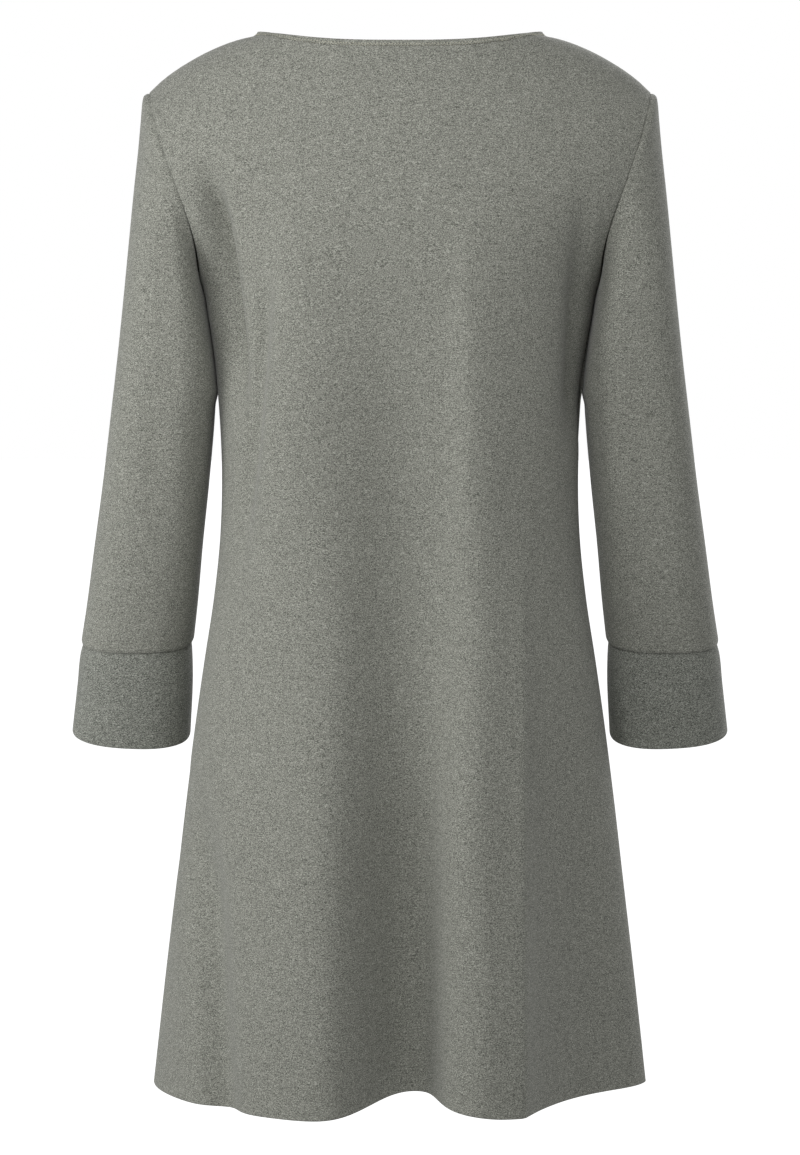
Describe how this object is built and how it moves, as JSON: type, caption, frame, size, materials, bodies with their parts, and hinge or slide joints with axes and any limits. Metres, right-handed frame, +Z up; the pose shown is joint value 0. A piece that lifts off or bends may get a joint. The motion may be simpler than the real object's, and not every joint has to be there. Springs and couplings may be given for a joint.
{
  "type": "a-line dress",
  "caption": "Hollow a-line dress with a wide shallow back neckline, set-in three-quarter sleeves and deep cuffs, filled out as worn, its skirt falling in soft folds.",
  "frame": {"origin": "middle of the line between the neck ends of the two shoulder seams, where the wearer's shoulders hold the dress up", "axes": "+X to the wearer's left, -Y out of the dress's front, +Z up"},
  "size_m": [0.5472, 0.2825, 0.8585],
  "materials": {
    "melange_jersey": "matt grey-green crepe jersey, finely streaked",
    "cuff_jersey": "the same jersey, its grain aslant and a little darker"
  },
  "bodies": {
    "root": {"back_panel": "melange_jersey", "front_panel": "melange_jersey", "sleeve_left": "melange_jersey", "sleeve_right": "melange_jersey", "cuff_left": "cuff_jersey", "cuff_right": "cuff_jersey"}
  },
  "joints": []
}
